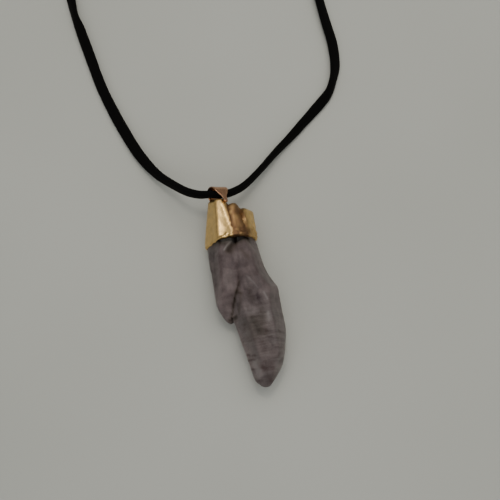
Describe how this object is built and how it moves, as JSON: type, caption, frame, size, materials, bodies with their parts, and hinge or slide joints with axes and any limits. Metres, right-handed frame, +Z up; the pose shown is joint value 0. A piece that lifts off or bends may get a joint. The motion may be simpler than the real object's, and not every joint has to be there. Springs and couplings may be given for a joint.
{
  "type": "crystal pendant necklace",
  "caption": "Raw twin quartz point with a gold plated root cap and a leaf pinch bail, on a flat black suede lace that closes behind the neck with a plain barrel.",
  "frame": {"origin": "on the table, under the middle of the box round the pendant (crystal, cap and bail)", "axes": "+Y along the crystal from its tip to the bail and on to the back of the neck loop, +X to the right seen from above, +Z up from the table"},
  "size_m": [0.0741, 0.2359, 0.0113],
  "materials": {
    "quartz": "natural crystal faces, cloudy smoky mauve",
    "gold_plate": "satin gold plating, slightly uneven",
    "rose_brass": "polished, redder than the cap",
    "black_suede": "matte nap",
    "gold_brass": "polished"
  },
  "bodies": {
    "root": {"crystal": "quartz", "cap": "gold_plate", "bail": "rose_brass", "lace": "black_suede", "clasp": "gold_brass"}
  },
  "joints": []
}
